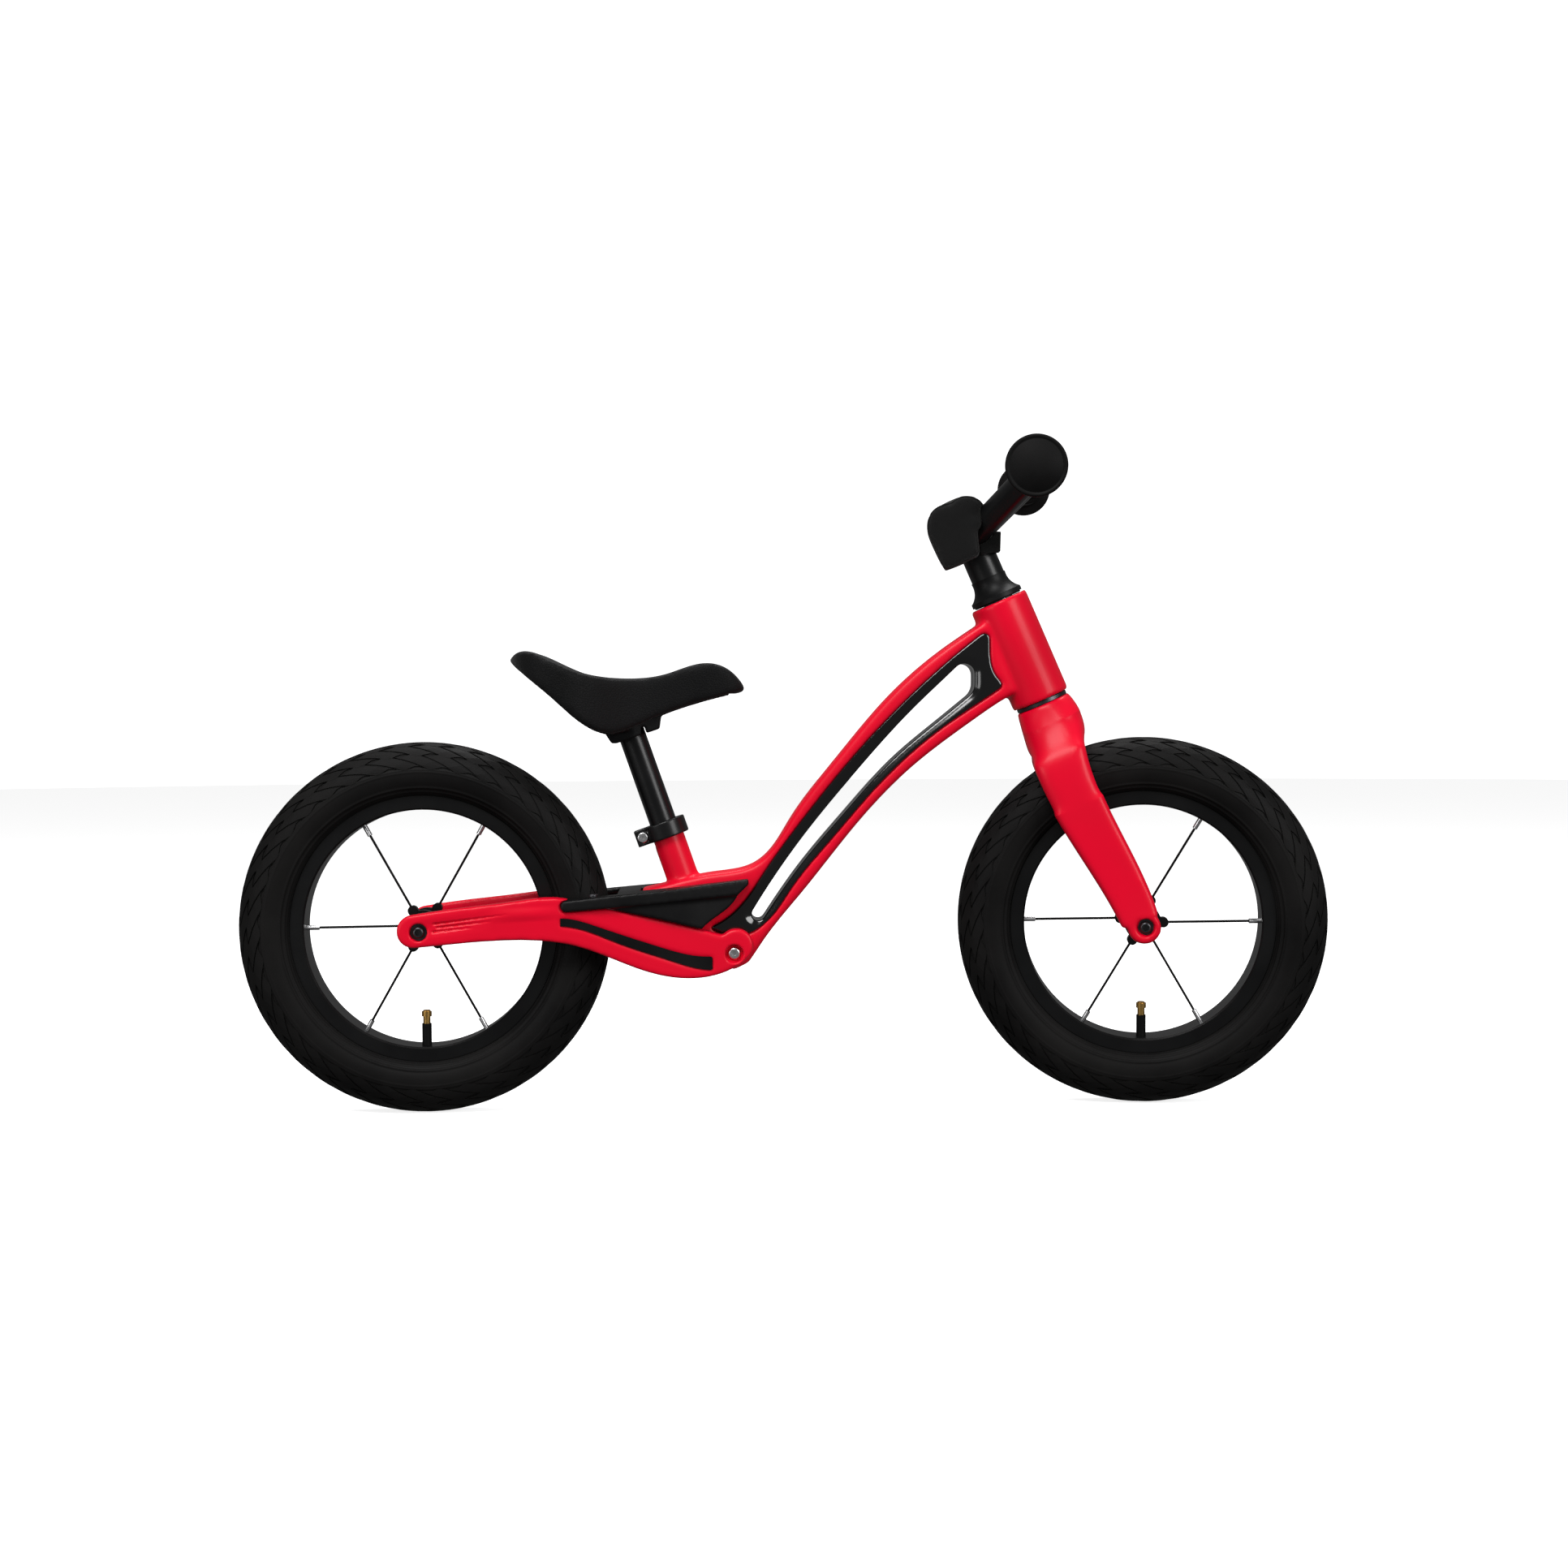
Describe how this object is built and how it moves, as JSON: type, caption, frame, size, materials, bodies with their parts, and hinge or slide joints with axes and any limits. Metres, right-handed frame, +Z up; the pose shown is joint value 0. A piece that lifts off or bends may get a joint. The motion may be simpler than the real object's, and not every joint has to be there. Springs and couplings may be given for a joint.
{
  "type": "balance bike",
  "caption": "Child's pedal-free balance bike with a cast frame, open down tube, low footrest, padded saddle, padded bar and pneumatic spoked wheels.",
  "frame": {"origin": "where the rear tyre meets the floor, in the bike's middle plane", "axes": "+X forwards along the bike, +Y to the rider's left, +Z up"},
  "size_m": [0.8911, 0.3691, 0.5461],
  "materials": {
    "frame_paint": "gloss enamel on a metal casting",
    "black_paint": "satin powder coat",
    "gloss_black": "gloss",
    "black_plastic": "satin, finely grained",
    "shell_plastic": "matt",
    "grip_rubber": "matt",
    "strip_rubber": "matt",
    "tyre_rubber": "matt",
    "tube_rubber": "matt",
    "saddle_skin": "matt synthetic leather over foam",
    "pad_cloth": "brushed knit over foam",
    "strap_cloth": "hook-and-loop tape",
    "rim_black": "black anodised",
    "spoke_black": "black coated wire",
    "hub_black": "black anodised",
    "steel": "zinc plated",
    "dark_steel": "black oxide",
    "silver": "plain, bright",
    "brass": "plain"
  },
  "bodies": {
    "frame": {"main_frame": "frame_paint", "frame_inlay_left": "gloss_black", "frame_inlay_right": "gloss_black", "rear_stay_left": "frame_paint", "rear_stay_right": "frame_paint", "grip_strip_left": "strip_rubber", "grip_strip_right": "strip_rubber", "stay_bolt": "silver", "stay_barrel_nut": "silver", "footrest": "black_plastic", "footrest_screws": "dark_steel", "seat_clamp": "black_paint", "seat_clamp_bolt": "silver", "seat_clamp_nut": "silver", "lower_headset_bearing": "steel", "upper_headset_bearing": "steel", "rear_axle": "steel", "rear_axle_bolts": "dark_steel", "rear_axle_washers": "dark_steel", "rear_axle_spacers": "dark_steel"},
    "seat": {"seatpost": "black_paint", "saddle_base": "shell_plastic", "saddle_cover": "saddle_skin", "saddle_screws": "dark_steel"},
    "steering": {"fork": "frame_paint", "steerer": "steel", "crown_race": "dark_steel", "headset_seal": "tube_rubber", "headset_cone": "black_plastic", "handlebar": "black_paint", "bar_clamp_bolt": "dark_steel", "bar_clamp_nut": "dark_steel", "grip_left": "grip_rubber", "grip_right": "grip_rubber", "bar_pad": "pad_cloth", "bar_pad_strap": "strap_cloth", "front_axle": "steel", "front_axle_bolts": "dark_steel", "front_axle_washers": "dark_steel", "front_axle_spacers": "dark_steel"},
    "rear_wheel": {"rear_tyre": "tyre_rubber", "rear_inner_tube": "tube_rubber", "rear_rim": "rim_black", "rear_spokes": "spoke_black", "rear_spoke_nipples": "silver", "rear_hub": "hub_black", "rear_hub_bearings": "steel", "rear_valve_stem": "tube_rubber", "rear_valve_tip": "brass"},
    "front_wheel": {"front_tyre": "tyre_rubber", "front_inner_tube": "tube_rubber", "front_rim": "rim_black", "front_spokes": "spoke_black", "front_spoke_nipples": "silver", "front_hub": "hub_black", "front_hub_bearings": "steel", "front_valve_stem": "tube_rubber", "front_valve_tip": "brass"}
  },
  "joints": [
    {"name": "steering", "type": "hinge", "parent": "frame", "child": "steering", "pos_m": [0.58504, 0, 0.14985], "axis": [-0.3939, 0, 0.9191], "continuous": true},
    {"name": "front_wheel_spin", "type": "hinge", "parent": "steering", "child": "front_wheel", "pos_m": [0.58887, -0.0005, 0.15149], "axis": [0.1088, 0.993, 0.0466], "continuous": true},
    {"name": "rear_wheel_spin", "type": "hinge", "parent": "frame", "child": "rear_wheel", "pos_m": [0, 0, 0.1515], "axis": [0, 1, 0], "continuous": true},
    {"name": "seat_height", "type": "slide", "parent": "frame", "child": "seat", "axis": [-0.3272, 0, 0.9449], "range_m": [-0.032, 0.035]}
  ]
}
